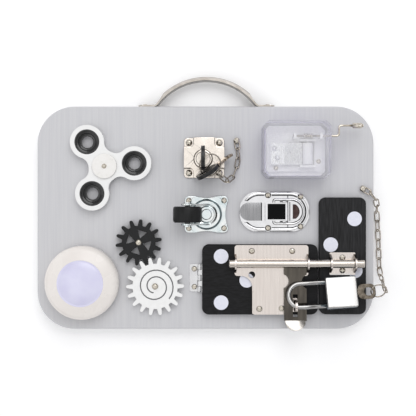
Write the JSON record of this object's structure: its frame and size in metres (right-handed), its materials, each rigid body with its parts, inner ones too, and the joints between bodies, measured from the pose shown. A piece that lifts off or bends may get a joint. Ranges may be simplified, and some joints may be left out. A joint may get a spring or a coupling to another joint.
{
  "type": "activity board",
  "caption": "Flat carrying board with a spinner, meshing gears, tap light, key lock, music box, caster, toggle latch and a small door with a sliding bolt and padlock on a chain.",
  "frame": {"origin": "centre of the board's flat back face", "axes": "+X to the right, +Y towards the carrying handle, +Z out of the front face"},
  "size_m": [0.3097, 0.2264, 0.0494],
  "materials": {
    "board_coat": "light grey satin paint on plywood",
    "nickel": "polished nickel plate",
    "steel_screw": "zinc-plated steel screw",
    "white_plastic": "glossy white plastic",
    "cream_plastic": "glossy cream plastic",
    "black_plastic": "black plastic",
    "black_weight": "black painted steel",
    "bearing_steel": "ground bearing steel",
    "lens": "milky lavender acrylic",
    "circuit": "green circuit laminate",
    "battery": "metal battery can",
    "lock_steel": "nickel-plated steel, satin",
    "pressed_steel": "pressed zinc-plated steel",
    "chain_nickel": "nickel-plated steel wire",
    "clear_plastic": "clear styrene",
    "cast_metal": "die-cast zinc, bright",
    "crank_wire": "plated wire",
    "zinc_blue": "bluish zinc plate",
    "caster_rubber": "black moulded rubber",
    "latch_chrome": "polished chrome plate",
    "latch_insert": "glossy black inlay",
    "panel_black": "black grained laminate",
    "dot_white": "white inlay",
    "stainless": "satin stainless steel",
    "padlock_chrome": "polished chrome"
  },
  "bodies": {
    "board": {"board": "board_coat", "handle": "nickel", "handle_screws": "steel_screw", "spinner_bearing_inner": "bearing_steel", "spinner_cap": "cream_plastic", "spinner_screw": "steel_screw", "gear_screws": "steel_screw", "gear_washers": "steel_screw", "light_base": "cream_plastic", "light_circuit": "circuit", "light_batteries": "battery", "lock_case": "lock_steel", "lock_backplate": "pressed_steel", "lock_barrel": "lock_steel", "lock_screws": "steel_screw", "spare_key": "black_plastic", "spare_key_ring": "chain_nickel", "lock_chain": "chain_nickel", "music_case": "clear_plastic", "music_bedplate": "cast_metal", "music_comb": "bearing_steel", "caster_plate": "zinc_blue", "caster_kingpin": "zinc_blue", "latch_base": "latch_chrome", "latch_catch": "latch_chrome", "latch_pin": "latch_chrome", "side_panel": "panel_black", "panel_dots": "dot_white", "hinge_board_leaf": "nickel", "keeper": "stainless", "padlock_chain": "chain_nickel", "plate_screws": "steel_screw"},
    "spinner": {"spinner_body": "white_plastic", "spinner_weights": "black_weight", "spinner_bearing_outer": "bearing_steel"},
    "gear_large": {"gear_white": "white_plastic"},
    "gear_small": {"gear_black": "black_plastic"},
    "light_cover": {"light_bezel": "cream_plastic", "light_lens": "lens"},
    "key_and_plug": {"lock_plug": "lock_steel", "lock_key": "black_plastic"},
    "drawer_bolt": {"lock_bolt": "pressed_steel"},
    "crank": {"music_crank": "crank_wire"},
    "knob": {"crank_knob": "cast_metal"},
    "drum": {"music_drum": "cast_metal"},
    "fork": {"caster_fork": "zinc_blue", "caster_axle": "zinc_blue"},
    "wheel": {"caster_wheel": "caster_rubber"},
    "lever": {"latch_lever": "latch_chrome", "latch_insert": "latch_insert"},
    "bail": {"latch_bail": "latch_chrome"},
    "door": {"door_panel": "panel_black", "door_dots": "dot_white", "hinge_door_leaf": "nickel", "bolt_plate": "stainless", "bolt_screws": "steel_screw", "padlock_shackle": "padlock_chrome"},
    "rod": {"bolt_rod": "stainless"},
    "padlock": {"padlock_body": "padlock_chrome"},
    "padlock_turnkey": {"padlock_key": "stainless"}
  },
  "joints": [
    {"name": "spinner_spin", "type": "hinge", "parent": "board", "child": "spinner", "pos_m": [-0.0893, 0.0455, 0.02], "axis": [0, 0, 1], "continuous": true},
    {"name": "gear_large_spin", "type": "hinge", "parent": "board", "child": "gear_large", "pos_m": [-0.0447, -0.0609, 0.018], "axis": [0, 0, 1], "continuous": true},
    {"name": "gear_small_spin", "type": "hinge", "parent": "board", "child": "gear_small", "pos_m": [-0.05934, -0.02196, 0.018], "axis": [0, 0, 1], "continuous": true},
    {"name": "light_press", "type": "slide", "parent": "board", "child": "light_cover", "axis": [0, 0, 1], "range_m": [-0.0012, 0], "stiffness_N_per_m": 1500, "springref_m": 0.0004},
    {"name": "lock_turn", "type": "hinge", "parent": "board", "child": "key_and_plug", "pos_m": [-0.0021, 0.052, 0.022], "axis": [0, 0, 1], "range_deg": [0, 90]},
    {"name": "drawer_bolt_slide", "type": "slide", "parent": "board", "child": "drawer_bolt", "axis": [0, 1, 0], "range_m": [0, 0.0065]},
    {"name": "crank_turn", "type": "hinge", "parent": "board", "child": "crank", "pos_m": [0.09, 0.0717, 0.03], "axis": [1, 0, 0], "continuous": true},
    {"name": "knob_spin", "type": "hinge", "parent": "crank", "child": "knob", "pos_m": [0.13, 0.0807, 0.03], "axis": [1, 0, 0], "continuous": true},
    {"name": "drum_turn", "type": "hinge", "parent": "board", "child": "drum", "pos_m": [0.0902, 0.06, 0.0221], "axis": [0, 1, 0], "continuous": true},
    {"name": "caster_swivel", "type": "hinge", "parent": "board", "child": "fork", "pos_m": [0.0008, 0.0029, 0.02], "axis": [0, 0, 1], "continuous": true},
    {"name": "wheel_roll", "type": "hinge", "parent": "fork", "child": "wheel", "pos_m": [-0.0157, 0.0029, 0.0355], "axis": [0, 1, 0], "continuous": true},
    {"name": "lever_flip", "type": "hinge", "parent": "board", "child": "lever", "pos_m": [0.0698, 0.0054, 0.0202], "axis": [0, 1, 0], "range_deg": [0, 120]},
    {"name": "bail_turn", "type": "hinge", "parent": "lever", "child": "bail", "pos_m": [0.0608, 0.0054, 0.0194], "axis": [0, 1, 0], "range_deg": [-120, 0]},
    {"name": "door_swing", "type": "hinge", "parent": "board", "child": "door", "pos_m": [-0.0054, -0.0535, 0.017], "axis": [0, -1, 0], "range_deg": [0, 0.15]},
    {"name": "hasp_lift", "type": "hinge", "parent": "door", "child": "rod", "pos_m": [0.06, -0.0404, 0.028], "axis": [-1, 0, 0], "range_deg": [0, 0.8]},
    {"name": "padlock_drop", "type": "slide", "parent": "door", "child": "padlock", "axis": [0.9982, 0.0593, 0], "range_m": [0, 0.005]},
    {"name": "padlock_key_turn", "type": "hinge", "parent": "padlock", "child": "padlock_turnkey", "pos_m": [0.14289, -0.06424, 0.0312], "axis": [-0.9982, -0.0593, 0], "range_deg": [0, 90]}
  ],
  "couplings": [
    {"joint": "gear_small_spin", "follows": "gear_large_spin", "ratio": -1.2857},
    {"joint": "lock_turn", "follows": "drawer_bolt_slide", "rad_per_m": 241.5},
    {"joint": "drum_turn", "follows": "crank_turn", "ratio": 0.05},
    {"joint": "bail_turn", "follows": "lever_flip", "ratio": -1}
  ]
}
